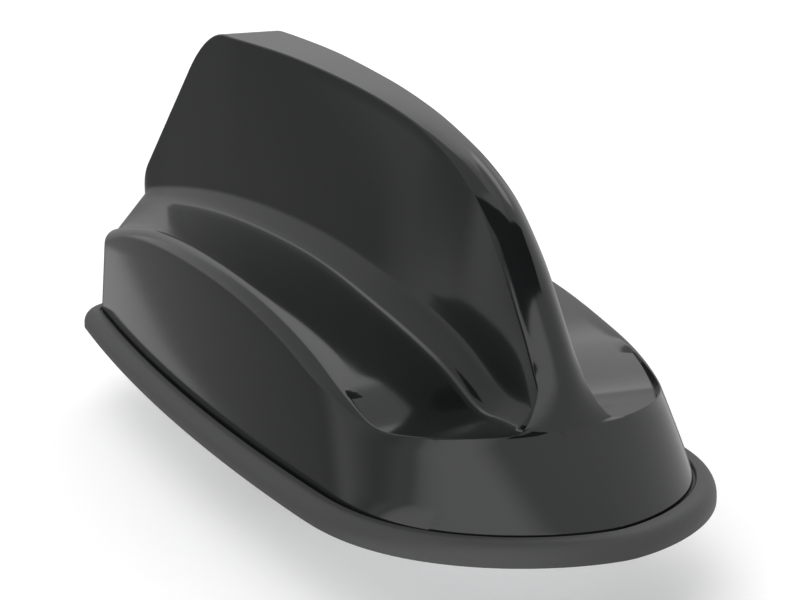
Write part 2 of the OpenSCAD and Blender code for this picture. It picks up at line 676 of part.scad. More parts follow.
module top_cap() {
    inside = mast_t / 2 + copper_t + 0.1;
    top = [for (x = cap_stations) [x, mast_top(x)]];
    back = [for (k = [8:-1:0]) cap_stations[k]];
    color("#a9abad") {
        upright(2 * (inside + sheet_t)) polygon(concat(
            [for (x = cap_stations) [x, mast_top(x) + sheet_t]], [for (x = back) [x, mast_top(x)]]
        ));
        for (s = [-1, 1]) translate([0, s * (inside + sheet_t / 2), 0]) upright(sheet_t) polygon(concat(
            [for (x = cap_stations) [x, mast_top(x) + eps]], [for (x = back) [x, mast_top(x) - hat_h]]
        ));
    }
}
module mast_clips() {
    color("#3c3f42") for (x = clip_x) translate([x, 0, board_top]) difference() {
        translate([-3, -3, 0]) cube([6, 6, 7]);
        translate([-4, -mast_t / 2, -1]) cube([8, mast_t, 10]);
    }
}

// Loading coil on its former
former_r = former_d / 2;
coil_h = coil_turns * 1.7;
module coil_former() {
    color("#e6e3da") translate([coil_spot.x, coil_spot.y, board_top]) {
        cylinder(r = former_r + 1.2, h = 1);
        cylinder(r = former_r, h = coil_h + 3);
    }
}
module loading_coil() {
    sides = 8;
    per_turn = 16;
    rings = coil_turns * per_turn + 1;
    r = former_r + wire_d / 2 + 0.05;
    rise = coil_h / coil_turns;
    points = [
        for (k = [0:rings - 1], j = [0:sides - 1])
        let(a = 360 * k / per_turn, b = 360 * j / sides, q = r + wire_d / 2 * cos(b))
        [q * cos(a), q * sin(a), 1.6 + wire_d / 2 + rise * k / per_turn + wire_d / 2 * sin(b)]
    ];
    faces = concat(
        [[for (j = [0:sides - 1]) j]],
        [[for (j = [sides - 1:-1:0]) (rings - 1) * sides + j]],
        [
            for (k = [0:rings - 2], j = [0:sides - 1])
            let(a = k * sides, b = (k + 1) * sides, n = (j + 1) % sides)
            each [[a + j, b + j, b + n], [a + j, b + n, a + n]]
        ]
    );
    color("#b87333") translate([coil_spot.x, coil_spot.y, board_top]) polyhedron(points, faces);
}

module side_element(s) {
    x0 = 2;
    x1 = 22;
    y = board_half() - 4;
    h = 13;
    color("#b9bbbd") translate([0, s * y, board_top]) {
        difference() {
            translate([x0, -sheet_t / 2, 0]) cube([x1 - x0, sheet_t, h]);
            translate([x0 + 3, -1, -1]) cube([x1 - x0 - 6, 2, 4]);
            translate([x0 + 5, -1, 6]) cube([x1 - x0 - 10, 2, 3]);
        }
        translate([x0, s > 0 ? -4 : sheet_t / 2 - eps, h - sheet_t])
            cube([x1 - x0, 4 - sheet_t / 2 + eps, sheet_t]);
    }
}
module side_element_left() {
    side_element(1);
}
module side_element_right() {
    side_element(-1);
}

socket_spots = [[13, 5.5], [13, -5.5], [-13, 6]];
module coax_sockets() {
    color("#c9a24a") for (p = socket_spots) translate([p.x, p.y, board_top]) difference() {
        union() {
            translate([-1.6, -1.6, 0]) cube([3.2, 3.2, 0.6]);
            cylinder(d = 2.4, h = 1.8);
        }
        translate([0, 0, 0.8]) cylinder(d = 1.6, h = 2);
    }
}
module feed_springs() {
    color("#c9a24a") for (s = [-1, 1]) {
        y = mast_t / 2 + copper_t;
        translate([feed_x, 0, board_top]) {
            translate([0, s > 0 ? y : -y - 2, 0]) cube([3, 2, sheet_t]);
            translate([0, s > 0 ? y : -y - sheet_t, 0]) cube([3, sheet_t, 11]);
        }
    }
}
module board_parts() {
    x1 = patch_x - patch_w / 2 - 2;
    spots = [[-42, 8, 5, 5, 1], [-42, 1.5, 3, 2, 0.9], [-22.5, 6.5, 4, 4, 1], [-8, 10.5, 3, 1.6, 0.8],
        [-8, -10.5, 3, 1.6, 0.8], [x1, 1.5, 1.6, 3, 0.8], [x1, -4, 1.6, 3, 0.8]];
    color("#1b1c1e") for (p = spots) translate([p[0], p[1], board_top]) cube([p[2], p[3], p[4]]);
}

cover();
base_seal();
seal_cord();
base_plate();
mounting_stud();
roof_gasket();
cover_screws();
main_board();
board_screws();
shield_can();
patch_ceramic();
patch_electrode();
mast_board();
mast_copper();
top_cap();
mast_clips();
loading_coil();
coil_former();
side_element_left();
side_element_right();
coax_sockets();
feed_springs();
board_parts();
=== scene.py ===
"""Shark fin aerial dressed for the photograph's view, with a fine cover, a rubber seal and soft light."""

import math

import bmesh
import bpy
import numpy as np
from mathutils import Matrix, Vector


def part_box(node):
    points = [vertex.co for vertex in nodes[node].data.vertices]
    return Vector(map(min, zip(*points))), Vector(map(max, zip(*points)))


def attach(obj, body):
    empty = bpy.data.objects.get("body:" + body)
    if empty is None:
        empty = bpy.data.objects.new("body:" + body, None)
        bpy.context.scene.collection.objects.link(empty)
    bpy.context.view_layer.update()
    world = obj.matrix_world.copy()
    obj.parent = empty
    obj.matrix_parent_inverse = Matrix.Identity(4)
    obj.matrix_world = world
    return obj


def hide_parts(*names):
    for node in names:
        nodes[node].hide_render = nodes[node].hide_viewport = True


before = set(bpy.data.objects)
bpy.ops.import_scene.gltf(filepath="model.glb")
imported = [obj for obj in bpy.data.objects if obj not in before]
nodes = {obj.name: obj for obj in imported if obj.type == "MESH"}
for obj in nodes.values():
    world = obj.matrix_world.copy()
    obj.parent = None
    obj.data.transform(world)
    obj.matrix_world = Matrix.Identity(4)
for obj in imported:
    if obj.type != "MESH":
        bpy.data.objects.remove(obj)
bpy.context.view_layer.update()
MM = 0.001

# Camera, as fitted to the photograph
CAMERA_AT = Vector((323.5, -175.0, 115.0)) * MM
CAMERA_TO = Vector((17.71, 0.0, 25.41)) * MM
LENS_MM, SENSOR_MM, CLIP_START = 90.0, 36, 0.01

# Sizes of the cover in millimetres, the same as the solid's
NOSE_X, TAIL_X = 86.0, 86.0
COVER_W, TAIL_W, COVER_H = 64.6, 36.8, 68.0
WALL = 2.2
SHOULDER_Z, EDGE_Z = 30.7, 16.5
FIN_FRONT_X = 71.8
CREST_W, CREST_NECK_W = 12.4, 6.2
FIN_ROOT_W = 14.6
ROOT_R, SHOULDER_R = 5.5, 3.0
POCKET_STEP = 1.4
TAIL_R = 5.0
NOSE_BULGE = 2.5
JOINT_Z = 3.2
SKIRT_Z = JOINT_Z + 0.8


def clamp01(t):
    return min(max(t, 0.0), 1.0)


def ease(t):
    c = clamp01(t)
    return c * c * (3 - 2 * c)


def mix(a, b, t):
    return a + (b - a) * t


def soft_max(a, b, r):
    h = clamp01(0.5 + (a - b) / (2 * r))
    return mix(b, a, h) + r * h * (1 - h)


def soft_min(a, b, r):
    return -soft_max(-a, -b, r)


def smooth_curve(points, x):
    """Monotone cubic through a few points."""
    px, py = points[:, 0], points[:, 1]
    d = np.diff(py) / np.diff(px)
    m = np.zeros(len(px))
    m[0], m[-1] = d[0], d[-1]
    for i in range(1, len(px) - 1):
        m[i] = 0 if d[i - 1] * d[i] <= 0 else 2 * d[i - 1] * d[i] / (d[i - 1] + d[i])
    x = np.clip(x, px[0], px[-1])
    i = np.clip(np.searchsorted(px, x) - 1, 0, len(px) - 2)
    h = px[i + 1] - px[i]
    t = (x - px[i]) / h
    return (
        (2 * t**3 - 3 * t**2 + 1) * py[i] + (t**3 - 2 * t**2 + t) * h * m[i]
        + (3 * t**2 - 2 * t**3) * py[i + 1] + (t**3 - t**2) * h * m[i + 1]
    )


# Skirt: its widest station, its drafts, and the powers that round its two ends
WIDE_X = 48.0
NOSE_LEAN, SIDE_DRAFT, TAIL_DRAFT = 0.64, 0.12, 0.08
BOXY_H = 13
NOSE_SQUARE, NOSE_SQUARE_GAIN = 2.5, 0.5
NOSE_BLUNT, NOSE_BLUNT_LOSS = 0.606, 0.1
SIDE_CURVE = 1.9


def skirt(x, z):
    """Half width of the skirt at a station and a height."""
    h = max(z - SKIRT_Z, 0.0)
    belly_x = WIDE_X - NOSE_LEAN * h
    belly = COVER_W / 2 - SIDE_DRAFT * h
    if x > belly_x:
        boxy = clamp01(h / BOXY_H)
        u = clamp01((x - belly_x) / (NOSE_X - h - belly_x))
        square = NOSE_SQUARE + NOSE_SQUARE_GAIN * boxy
        return belly * (1 - u**square) ** (NOSE_BLUNT - NOSE_BLUNT_LOSS * boxy)
    u = (belly_x - x) / (belly_x + TAIL_X)
    return mix(belly, TAIL_W / 2 - TAIL_DRAFT * h, u**SIDE_CURVE)


# Shoulder ridge: its peak, and how it falls behind and ahead
PEAK_X = -12
BACK_DROP, BACK_SPAN = 8.7, 68
FRONT_DROP, FRONT_SPAN, FRONT_CURVE = 13.4, 68.8, 2.35
EDGE_BLEND = 1.6


def shoulder(x):
    if x < PEAK_X:
        return SHOULDER_Z - BACK_DROP * ((PEAK_X - x) / BACK_SPAN) ** 2
    return soft_max(SHOULDER_Z - FRONT_DROP * ((x - PEAK_X) / FRONT_SPAN) ** FRONT_CURVE, EDGE_Z, EDGE_BLEND)


# Crest: its line as a share of its height, and the sloping rear edge that it rounds into
CREST_POINTS = np.array(
    [[-45, 1], [-20, 0.978], [6, 0.926], [24, 0.863], [38, 0.777], [49, 0.66], [57.5, 0.491],
     [65, 0.277], [67.4, 0.2], [69.6, 0.135], [70.8, 0.077], [71.4, 0.03], [71.65, 0.008], [71.8, 0]]
)
TRAIL_FOOT, TRAIL_SLOPE = 30.5, 1.038
CORNER_R = 9


def crest(x):
    line = mix(EDGE_Z, COVER_H, float(smooth_curve(CREST_POINTS, x)))
    trail = TRAIL_FOOT + TRAIL_SLOPE * (x + TAIL_X)
    return soft_min(trail, line, CORNER_R)


# Strip between the two creases: where its bulge begins, and how it eases off at the fin's foot
BULGE_X, BULGE_SPAN = 4, 28
FOOT_BACK, FOOT_SPAN, FOOT_SHARE = 4.8, 4.5, 0.3
CREASE_STEPS = 6


def bulge(a):
    """How far the strip's middle stands ahead of the crease at a."""
    foot = FOOT_SHARE * ease((a - FIN_FRONT_X + FOOT_BACK) / FOOT_SPAN)
    return NOSE_BULGE * (ease((a - BULGE_X) / BULGE_SPAN) - foot)


def crease_behind(x, u):
    """Where the crease lies that is level with a point of the strip."""
    k = 1 - u * u
    a = x - bulge(x) * k
    for _ in range(CREASE_STEPS):
        a = x - bulge(a) * k
    return a


# Crest strip's half width: wider behind the neck, and turned into the nose at the fin's foot
NECK_X, REAR_SPAN, REAR_CURVE = 33, 70, 1.35
TAIL_FLARE_X, TAIL_FLARE = -37, 0.023
STRIP_SPAN = 32
STRIP_FOOT_X, STRIP_FOOT_SPAN, STRIP_FOOT_W = 65, 6, 0.4
TURN_SPAN, TURN_IN, TURN_OUT = 2.2, 0.42, 1.4


def crest_half(x):
    if x < NECK_X:
        rear = clamp01((NECK_X - x) / REAR_SPAN) ** REAR_CURVE
        return mix(CREST_NECK_W / 2, CREST_W / 2, rear) + TAIL_FLARE * max(TAIL_FLARE_X - x, 0)
    strip = CREST_NECK_W / 2 + ease((x - NECK_X) / STRIP_SPAN)
    strip += STRIP_FOOT_W * ease((x - STRIP_FOOT_X) / STRIP_FOOT_SPAN)
    turn = (1 - clamp01((FIN_FRONT_X - x) / TURN_SPAN) ** TURN_IN) ** TURN_OUT
    return mix(strip, skirt(FIN_FRONT_X, EDGE_Z), turn)


def strip_point(x, u):
    a = crease_behind(x, u)
    return crest_half(a) * u, crest(a)


# Pocket: the fin's root, the step below the nose surface, the shelf and the hollow
ROOT_X, ROOT_SPAN, ROOT_LOSS = 20, 45, 2.9
POCKET_END = 1.2
STEP_X, STEP_SPAN = 46, 18
SHELF_X, SHELF_SPAN, SHELF_CURVE = 20, 105, 1.5
SHELF_RISE, SHELF_RISE_BACK = 0.8, 3.7
HOLLOW_SHARE, HOLLOW_END = 0.66, 0.6


def root_half(x):
    return FIN_ROOT_W / 2 - ROOT_LOSS * ease((x - ROOT_X) / ROOT_SPAN)


def pocket_left(x):
    """Goes from 1 to 0 at the pocket's front end."""
    return math.sqrt(clamp01((FIN_FRONT_X - x) / POCKET_END))


def recess(x):
    return POCKET_STEP * ease((x - STEP_X) / STEP_SPAN) * pocket_left(x)


def shelf_rise(x):
    return SHELF_RISE + SHELF_RISE_BACK * clamp01((SHELF_X - x) / SHELF_SPAN) ** SHELF_CURVE


def shelf_end(x):
    return shoulder(x) - recess(x) + shelf_rise(x) * pocket_left(x)


def hollow_r(x):
    room = crest(x) - shelf_end(x)
    side = 0.5 * (skirt(x, shoulder(x)) - crest_half(x))
    return max(min(ROOT_R, HOLLOW_SHARE * room - HOLLOW_END * pocket_left(x), side), 0)


# Rows of a half section, counted for each form that it crosses
WALL_ROWS, ARC_ROWS, SHELF_ROWS, HOLLOW_ROWS, FACE_ROWS, LIP_ROWS, CREST_ROWS = 8, 7, 6, 9, 12, 5, 14
SIDE_ROWS = WALL_ROWS + ARC_ROWS + SHELF_ROWS + HOLLOW_ROWS + FACE_ROWS + LIP_ROWS + CREST_ROWS
BELOW_STRIP = SIDE_ROWS - CREST_ROWS + 1
STRIP_ROWS = 1 - np.linspace(0, 1, CREST_ROWS + 1) ** 1.3
RIM_POINTS = LIP_ROWS - 2

# Lip along the crease: its corner radius, its rim's height, and the least size of a form
CORNER_EDGE_R, RIM_H = 0.3, 0.9
TINY = 0.02
RIM_CHAMFER = 0.1

# Shoulder's corner ahead, and the corner where it meets the shelf
CORNER_X, CORNER_SPAN, CORNER_FRONT_R = 38, 22, 0.5
SHELF_INSET, SHELF_INSET_STEP, SHELF_LIFT = 0.25, 0.4, 0.05
LEAN_REACH = 0.5
LEAST = 0.01
RIM_SPREAD = 0.002


def crest_lip(x, st, left):
    """The crest's edge: a step out of the pocket, a narrow rim and a rounded corner."""
    (y1, z1), (y2, z2) = strip_point(x, 1), strip_point(x, 0.96)
    turn = math.pi / 2 - max(math.atan2(z2 - z1, y1 - y2), 0)
    r = CORNER_EDGE_R * left
    cy, cz = y1 - r * math.cos(turn), z1 - r * math.sin(turn)
    w = st / POCKET_STEP
    drop = (TINY + RIM_H * w) * left
    rim = [(cy + r, cz - drop), (cy + r, cz - 0.5 * drop)]
    angles = np.linspace(0, turn, RIM_POINTS + 1)[:-1]
    rim += [(cy + r * math.cos(a), cz + r * math.sin(a)) for a in angles]
    inner = (cy + r - st, cz - drop - (TINY + RIM_CHAMFER * w) * left)
    return inner, rim


def fin_section(x):
    """Half of the cover's section through the fin, from the foot to the centre line."""
    left = pocket_left(x)
    zs, st = shoulder(x), recess(x)
    r = mix(SHOULDER_R, CORNER_FRONT_R * left, ease((x - CORNER_X) / CORNER_SPAN))
    rr = max(hollow_r(x), TINY)
    z2 = shelf_end(x)
    lean = math.atan(max(skirt(x, zs - r - LEAN_REACH) - skirt(x, zs - r), 0) / LEAN_REACH)
    zw = zs - r + r * math.sin(lean)
    cy, cz = skirt(x, zw) - r * math.cos(lean), zs - r
    points = [(skirt(x, z), z) for z in np.linspace(JOINT_Z, zw, WALL_ROWS)]
    turns = np.linspace(lean, math.pi / 2, ARC_ROWS + 1)[1:]
    points += [(cy + r * math.cos(a), cz + r * math.sin(a)) for a in turns]
    y1, z1 = cy - (SHELF_INSET + SHELF_INSET_STEP * st) * left, zs - st + SHELF_LIFT * left
    (face, top), rim = crest_lip(x, st, left)
    hf = max(root_half(x), face)
    top = max(top, z2 + rr + TINY)
    tilt = math.atan2(hf - face, max(top - z2 - rr, LEAST))
    first = math.atan2(z2 - z1, max(y1 - hf - rr, LEAST))
    arc = [
        (hf + rr - rr * math.sin(a), z2 + rr - rr * math.cos(a))
        for a in np.linspace(first, math.pi / 2 - tilt, HOLLOW_ROWS)
    ]
    (y3, z3), (ya, za) = arc[0], arc[-1]
    points += [(mix(y1, y3, t), mix(z1, z3, t)) for t in np.linspace(0, 1, SHELF_ROWS + 1)[:-1]]
    points += arc
    points += [(mix(ya, face, t), mix(za, top, t)) for t in np.linspace(0, 1, FACE_ROWS + 1)[1:]]
    points += [(y, max(z, top + RIM_SPREAD * k)) for k, (y, z) in enumerate(rim, 1)]
    points += [strip_point(x, u) for u in STRIP_ROWS]
    return points


def strip_section(x):
    """Half section between the foot of the fin and the nose, where no pocket is left."""
    u1 = math.sqrt(clamp01(1 - (x - FIN_FRONT_X) / bulge(FIN_FRONT_X)))
    points = [(skirt(x, z), z) for z in np.linspace(JOINT_Z, EDGE_Z, BELOW_STRIP)]
    return points + [strip_point(x, u1 * u) for u in STRIP_ROWS[1:]]


# Nose: where the strip has run out, and the width that its top rows keep to the tip
STRIP_END = NOSE_X + SKIRT_Z - EDGE_Z - 0.05
TIP_GAP = 0.05
TOP_W, TOP_SHARE = 7.0, 0.6
HALVINGS = 40


def nose_line(x):
    return NOSE_X + SKIRT_Z - x


def height_at(x, y, low, high):
    """Height at which the skirt is as narrow as y."""
    for _ in range(HALVINGS):
        mid = (low + high) / 2
        if skirt(x, mid) > y:
            low = mid
        else:
            high = mid
    return low


def nose_section(x):
    zt = nose_line(x)
    at = min(x, NOSE_X - TIP_GAP)
    far = (x - STRIP_END) / (NOSE_X - STRIP_END)
    yw = min(mix(skirt(STRIP_END, EDGE_Z), TOP_W, far), TOP_SHARE * skirt(at, JOINT_Z))
    zw = height_at(at, yw, JOINT_Z, zt)
    points = [(skirt(at, z), z) for z in np.linspace(JOINT_Z, zw, BELOW_STRIP)]
    points += [(yw * u, height_at(at, yw * u, zw, zt)) for u in STRIP_ROWS[1:-1]]
    return points + [(0.0, zt)]


# The crest is kept this share of its height, so that it stays inside the solid's box
CREST_FIT = 0.9997


def end_inset(t, r):
    return r * (1 - math.sqrt(max(1 - (1 - clamp01(t)) ** 2, 0)))


def outer_half(x):
    if x > STRIP_END:
        return nose_section(x)
    if x >= FIN_FRONT_X:
        return strip_section(x)
    points = fin_section(x)
    e = end_inset((x + TAIL_X) / TAIL_R, TAIL_R)
    top, wide = crest(x), points[0][0]
    down = (1 - e / (top - JOINT_Z)) * CREST_FIT
    return [(y * (1 - e / wide), JOINT_Z + (z - JOINT_Z) * down) for y, z in points]


# Stations along the cover, closest where it turns
TOP_BACK_X, TOP_FRONT_X, SLOPE_X = -57, -38, 30
FRONT_GAP = 0.004
FRONT_POWER = 2.2
TAIL_COUNT, BACK_COUNT, TOP_CORNER_COUNT, TOP_COUNT = 14, 22, 26, 46
FRONT_COUNT, STRIP_COUNT, NOSE_COUNT = 92, 26, 34


def cover_stations():
    tail = [-TAIL_X + TAIL_R * (1 - math.cos(math.radians(a))) for a in np.linspace(0, 90, TAIL_COUNT)]
    slope = list(np.linspace(TAIL_R - TAIL_X, TOP_BACK_X, BACK_COUNT)[1:])
    top_corner = list(np.linspace(TOP_BACK_X, TOP_FRONT_X, TOP_CORNER_COUNT)[1:])
    top = list(np.linspace(TOP_FRONT_X, SLOPE_X, TOP_COUNT)[1:])
    run = (1 - np.linspace(0, 1, FRONT_COUNT)[1:-1]) ** FRONT_POWER
    front = [FIN_FRONT_X - w for w in (FIN_FRONT_X - SLOPE_X) * run + FRONT_GAP]
    strip = list(np.linspace(FIN_FRONT_X + FRONT_GAP, STRIP_END, STRIP_COUNT))
    nose = list(mix(STRIP_END, NOSE_X, np.sin(np.linspace(0, math.pi / 2, NOSE_COUNT))[1:]))
    return tail + slope + top_corner + top + front + strip + nose


def cover_mesh():
    xs = cover_stations()
    rows = []
    for x in xs:
        half = outer_half(x)
        rows.append([(x, -y, z) for y, z in half] + [(x, y, z) for y, z in half[-2::-1]])
    count = len(rows[0])
    verts = [p for row in rows for p in row]
    faces = []
    for i in range(len(rows) - 1):
        for j in range(count - 1):
            a = i * count + j
            faces.append((a, a + 1, a + count + 1, a + count))
    for base in (0, (len(rows) - 1) * count):
        for k in range(SIDE_ROWS):
            a, b, c, d = base + k, base + k + 1, base + count - 2 - k, base + count - 1 - k
            faces.append((a, b, d) if b == c else (a, b, c, d))
    return verts, faces


def mesh_object(name, verts, faces, look, smooth_angle=None):
    """A mesh object in metres from points in millimetres."""
    mesh = bpy.data.meshes.new(name)
    mesh.from_pydata([tuple(c * MM for c in v) for v in verts], [], faces)
    mesh.validate()
    bm = bmesh.new()
    bm.from_mesh(mesh)
    bmesh.ops.recalc_face_normals(bm, faces=bm.faces)
    bm.to_mesh(mesh)
    bm.free()
    obj = bpy.data.objects.new(name, mesh)
    bpy.context.scene.collection.objects.link(obj)
    obj.data.materials.append(look)
    if smooth_angle:
        mesh.shade_smooth()
        mesh.set_sharp_from_angle(angle=math.radians(smooth_angle))
    return obj


# Seal and the cavity that it follows
FLANGE, BEAD_RISE, BEAD_GAP, SEAL_LAND = 3.998, 0.6, 0.4, 4.5
BEAD_W, BEAD_FOOT_Z, BEAD_CHAMFER = 2.6, 0.8, 0.2
PLATE_Z = 1.0
INNER_TAIL = 1.1 * WALL - TAIL_X
INNER_NOSE = NOSE_X - 2.5 * WALL
INNER_R = 3
SEEN_SHIFT, SEEN_SPAN = 1.15, 60
LEAST_CAVITY, LEAST_FOOT = 1.0, 0.3
SEAL_TAIL_COUNT, SEAL_SIDE_COUNT, SEAL_NOSE_COUNT, BEAD_COUNT = 13, 50, 46, 13
SEAL_TURN_X = WIDE_X - 8


def cavity_line(x):
    """A point of the cavity's outline for a station of the foot."""
    i = mix(INNER_TAIL, INNER_NOSE, (x + TAIL_X) / (NOSE_X + TAIL_X))
    seen = i + SEEN_SHIFT * WALL * clamp01(abs(i) / SEEN_SPAN) * (1 if i > 0 else -1)
    inside = skirt(seen, JOINT_Z) - WALL - end_inset((i - INNER_TAIL) / INNER_R, INNER_R)
    return i, max(inside, LEAST_CAVITY)


def closed(points):
    return points + [(x, -y) for x, y in reversed(points)]


def grown(line, distance):
    """An outline moved outwards along its own normals."""
    n = len(line)
    out = []
    for k in range(n):
        (ax, ay), (bx, by) = line[k - 1], line[(k + 1) % n]
        size = math.hypot(bx - ax, by - ay)
        out.append((line[k][0] - (by - ay) / size * distance, line[k][1] + (bx - ax) / size * distance))
    return out


def ring_mesh(rings):
    """A closed ring from loops that share their point count."""
    n, m = len(rings[0]), len(rings)
    verts = [p for ring in rings for p in ring]
    faces = []
    for k in range(m):
        for i in range(n):
            j, q = (i + 1) % n, (k + 1) % m
            faces.append((k * n + i, k * n + j, q * n + j, q * n + i))
    return verts, faces


def seal_mesh():
    quarter = math.pi / 2
    tail = [-TAIL_X + TAIL_R * (1 - math.cos(a)) for a in np.linspace(0, quarter, SEAL_TAIL_COUNT)]
    side = list(np.linspace(TAIL_R - TAIL_X, SEAL_TURN_X, SEAL_SIDE_COUNT)[1:])
    nose = [mix(SEAL_TURN_X, NOSE_X, math.sin(a)) for a in np.linspace(0, quarter, SEAL_NOSE_COUNT)[1:]]
    xs = tail + side + nose
    foot = closed([(x, max(outer_half(x)[0][0], LEAST_FOOT)) for x in xs])
    cavity = closed([cavity_line(x) for x in xs])
    top = JOINT_Z + BEAD_RISE
    loops = [(grown(foot, FLANGE), 0.0)]
    for a in np.linspace(0, quarter, BEAD_COUNT):
        out = mix(FLANGE - BEAD_W, FLANGE, math.cos(a))
        loops.append((grown(foot, out), mix(BEAD_FOOT_Z, top, math.sin(a))))
    loops += [
        (grown(foot, BEAD_GAP + BEAD_CHAMFER), top),
        (grown(foot, BEAD_GAP), top - BEAD_CHAMFER),
        (grown(foot, BEAD_GAP), JOINT_Z),
        (cavity, JOINT_Z),
        (cavity, PLATE_Z),
        (grown(cavity, -SEAL_LAND), PLATE_Z),
        (grown(cavity, -SEAL_LAND), 0.0),
    ]
    return ring_mesh([[(x, y, z) for x, y in line] for line, z in loops])


# Stud with its thread below the roof
STUD_R, BORE_R, SHANK_R = 8.0, 5.25, 8.6
STUD_LOW, THREAD_TOP, PLATE_TOP = -16.0, -1.6, 3.4
STUD_CHAMFER = 1.0
THREAD_DEPTH, PITCH = 0.75, 1.5
THREAD_STEEP, THREAD_FLAT = 2.6, 0.15
THREAD_RUN_IN, THREAD_RUN_OUT, THREAD_PLAY = 0.4, 1.2, 0.01
THREAD_RELIEF = 0.1
STUD_FLANGE_W, STUD_FLANGE_T, FLANGE_CHAMFER = 3.5, 1.6, 0.3
AROUND, PER_PITCH = 96, 6


def stud_mesh():
    thread_low = STUD_LOW + STUD_CHAMFER
    levels = int((THREAD_TOP - thread_low) / PITCH * PER_PITCH)
    rings = []

    def ring(radius_at, z):
        row = []
        for k in range(AROUND):
            r, a = radius_at(k), 2 * math.pi * k / AROUND
            row.append((r * math.cos(a), r * math.sin(a), z))
        rings.append(row)

    def thread_radius(z):
        run = ease((z - thread_low) / THREAD_RUN_IN) * ease((THREAD_TOP - z) / THREAD_RUN_OUT)

        def at(k):
            phase = ((z - STUD_LOW) / PITCH - k / AROUND) % 1.0
            cut = THREAD_DEPTH * clamp01((0.5 - abs(phase - 0.5)) * THREAD_STEEP - THREAD_FLAT)
            return STUD_R - THREAD_PLAY - cut * run

        return at

    ring(lambda k: BORE_R, STUD_LOW)
    ring(lambda k: STUD_R - STUD_CHAMFER, STUD_LOW)
    for level in range(levels + 1):
        z = thread_low + (THREAD_TOP - thread_low) * level / levels
        ring(thread_radius(z), z)
    wide, top = STUD_R + STUD_FLANGE_W, PLATE_TOP + STUD_FLANGE_T
    for r, z in (
        (STUD_R, THREAD_TOP + THREAD_RELIEF), (STUD_R, 0.0), (SHANK_R, 0.0), (SHANK_R, PLATE_TOP),
        (wide - FLANGE_CHAMFER, PLATE_TOP), (wide, PLATE_TOP + FLANGE_CHAMFER), (wide, top - FLANGE_CHAMFER),
        (wide - FLANGE_CHAMFER, top), (BORE_R + FLANGE_CHAMFER, top), (BORE_R, top - FLANGE_CHAMFER),
    ):
        ring(lambda k: r, z)
    return ring_mesh(rings)


GRAIN_DETAIL = 4


def material(name, color, roughness, metallic=0.0):
    m = bpy.data.materials.new(name)
    m.use_nodes = True
    b = m.node_tree.nodes["Principled BSDF"]
    b.inputs["Base Color"].default_value = (*color, 1)
    b.inputs["Roughness"].default_value = roughness
    b.inputs["Metallic"].default_value = metallic
    return m, b


def grain(m, b, scale, strength, distance, rough=None):
    """Fine noise in the surface, and a slight change of gloss with it."""
    t = m.node_tree
    coord = t.nodes.new("ShaderNodeTexCoord")
    noise = t.nodes.new("ShaderNodeTexNoise")
    noise.inputs["Scale"].default_value = scale
    noise.inputs["Detail"].default_value = GRAIN_DETAIL
    bump = t.nodes.new("ShaderNodeBump")
    bump.inputs["Strength"].default_value = strength
    bump.inputs["Distance"].default_value = distance
    t.links.new(coord.outputs["Object"], noise.inputs["Vector"])
    t.links.new(noise.outputs["Fac"], bump.inputs["Height"])
    t.links.new(bump.outputs["Normal"], b.inputs["Normal"])
    if rough:
        spread = t.nodes.new("ShaderNodeMapRange")
        spread.inputs["To Min"].default_value = rough[0]
        spread.inputs["To Max"].default_value = rough[1]
        t.links.new(noise.outputs["Fac"], spread.inputs["Value"])
        t.links.new(spread.outputs["Result"], b.inputs["Roughness"])


# Materials: colour, roughness and metallic, then the grain's scale, strength, distance and range of roughness
SURFACES = {
    "cover_gloss": ((0.0095, 0.0102, 0.0104), 0.1, 0.0, 900, 0.01, 0.00005, (0.09, 0.11)),
    "seal_rubber": ((0.038, 0.0385, 0.0395), 0.5, 0.0, 1500, 0.2, 0.0001, (0.46, 0.56)),
    "gasket_foam": ((0.06, 0.061, 0.063), 0.9, 0.0, 2400, 0.8, 0.0003, None),
    "plate_casting": ((0.56, 0.57, 0.58), 0.42, 1.0, 1800, 0.35, 0.0001, (0.36, 0.5)),
    "bright_steel": ((0.68, 0.68, 0.67), 0.24, 1.0, 2200, 0.08, 0.00005, (0.2, 0.3)),
    "tinned_sheet": ((0.72, 0.73, 0.74), 0.3, 1.0, 1200, 0.1, 0.00005, (0.25, 0.36)),
    "board_green": ((0.012, 0.09, 0.04), 0.35, 0.0, 700, 0.1, 0.00005, (0.3, 0.42)),
    "copper_foil": ((0.75, 0.33, 0.17), 0.3, 1.0, 1600, 0.1, 0.00005, (0.25, 0.38)),
    "gold_contact": ((0.83, 0.6, 0.25), 0.25, 1.0, 1600, 0.08, 0.00005, (0.2, 0.3)),
    "patch_ceramic": ((0.62, 0.54, 0.42), 0.55, 0.0, 1500, 0.2, 0.0001, (0.48, 0.62)),
    "former_plastic": ((0.74, 0.72, 0.66), 0.45, 0.0, 1200, 0.1, 0.00005, (0.4, 0.5)),
    "chip_black": ((0.018, 0.018, 0.019), 0.5, 0.0, 1800, 0.2, 0.0001, (0.42, 0.56)),
}
looks = {}
for name, (color, roughness, metallic, *grains) in SURFACES.items():
    looks[name], shader = material(name, color, roughness, metallic)
    grain(looks[name], shader, *grains)

NODE_LOOKS = {
    "cover_gloss": ("cover",),
    "seal_rubber": ("base_seal", "seal_cord"),
    "gasket_foam": ("roof_gasket",),
    "plate_casting": ("base_plate",),
    "bright_steel": ("mounting_stud", "cover_screws", "board_screws"),
    "tinned_sheet": ("shield_can", "top_cap", "side_element_left", "side_element_right", "patch_electrode"),
    "board_green": ("main_board", "mast_board"),
    "copper_foil": ("mast_copper", "loading_coil"),
    "gold_contact": ("coax_sockets", "feed_springs"),
    "patch_ceramic": ("patch_ceramic",),
    "former_plastic": ("coil_former",),
    "chip_black": ("mast_clips", "board_parts"),
}
for look, names in NODE_LOOKS.items():
    for name in names:
        nodes[name].data.materials.clear()
        nodes[name].data.materials.append(looks[look])

